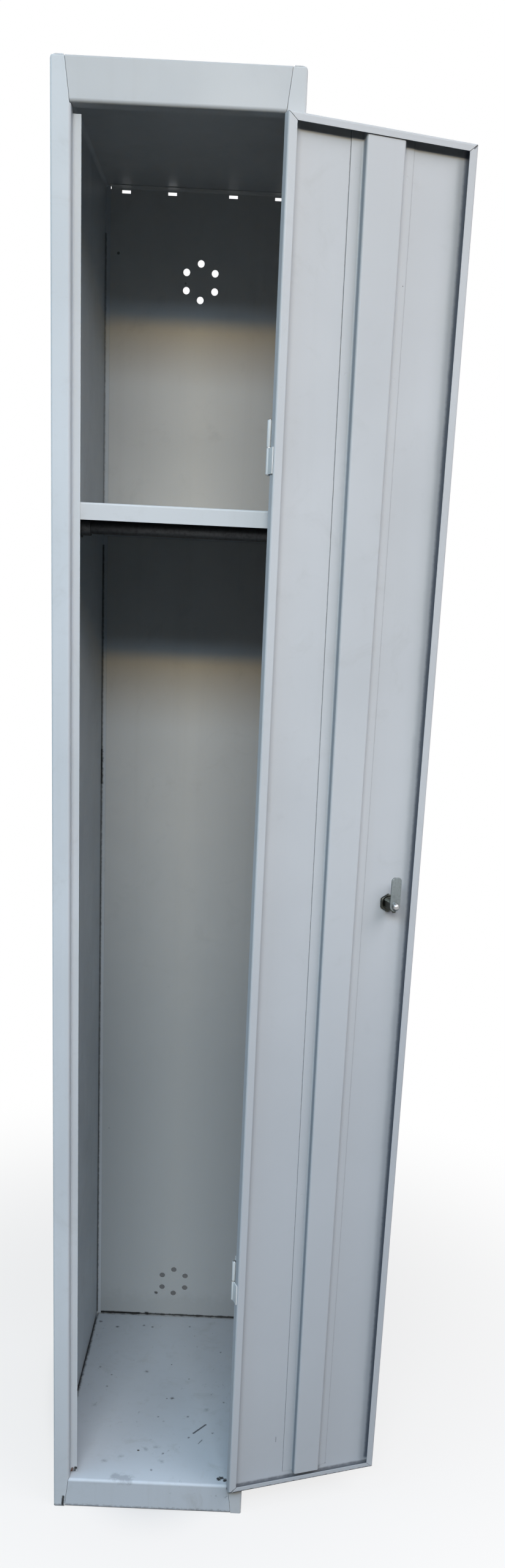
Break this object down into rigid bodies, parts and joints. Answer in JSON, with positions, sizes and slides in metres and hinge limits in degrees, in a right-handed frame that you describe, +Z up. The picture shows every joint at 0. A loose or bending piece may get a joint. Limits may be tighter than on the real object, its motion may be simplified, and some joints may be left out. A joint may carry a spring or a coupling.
{
  "type": "metal locker",
  "caption": "Tall narrow folded-steel locker with a hat shelf, a hanging rail, a vented back and a full-height stiffened door on barrel hinges with a quarter-turn cam lock.",
  "frame": {"origin": "On the floor, in the middle of the width and of the plinth's folded foot, 10 mm behind the front face", "axes": "+X to the right seen from the front, +Y from the front to the back, +Z up"},
  "size_m": [0.4604, 0.4703, 1.8],
  "materials": {
    "grey_paint": "light grey satin enamel on folded sheet",
    "zinc_tube": "zinc plated",
    "cam_steel": "galvanised",
    "lock_plate": "bright plated",
    "dark_steel": "black oxide",
    "lock_brass": "stamped"
  },
  "bodies": {
    "cabinet": {"left_side_panel": "grey_paint", "right_side_panel": "grey_paint", "back_panel": "grey_paint", "top_panel": "grey_paint", "base_panel": "grey_paint", "hat_shelf": "grey_paint", "hanging_rail": "zinc_tube", "rail_socket_left": "zinc_tube", "rail_socket_right": "zinc_tube", "upper_hinge_frame_leaf": "grey_paint", "lower_hinge_frame_leaf": "grey_paint", "upper_hinge_pin": "zinc_tube", "lower_hinge_pin": "zinc_tube", "upper_hinge_washer": "zinc_tube", "lower_hinge_washer": "zinc_tube"},
    "door": {"door_panel": "grey_paint", "door_stiffener": "grey_paint", "upper_hinge_door_leaf": "grey_paint", "lower_hinge_door_leaf": "grey_paint", "lock_housing": "lock_plate", "lock_nut": "dark_steel"},
    "lock_barrel": {"lock_plug": "lock_plate", "lock_wafers": "lock_brass", "lock_stop_plate": "dark_steel", "lock_cam": "cam_steel", "cam_nut": "lock_plate"}
  },
  "joints": [
    {"name": "door_hinge", "type": "hinge", "parent": "cabinet", "child": "door", "pos_m": [0.111, -0.014, 0.9], "axis": [0, 0, 1], "range_deg": [-199.7, 0]},
    {"name": "lock_turn", "type": "hinge", "parent": "door", "child": "lock_barrel", "pos_m": [0.28652, 0.0446, 0.9], "axis": [-0.3371, 0.9415, 0], "range_deg": [0, 90]}
  ]
}
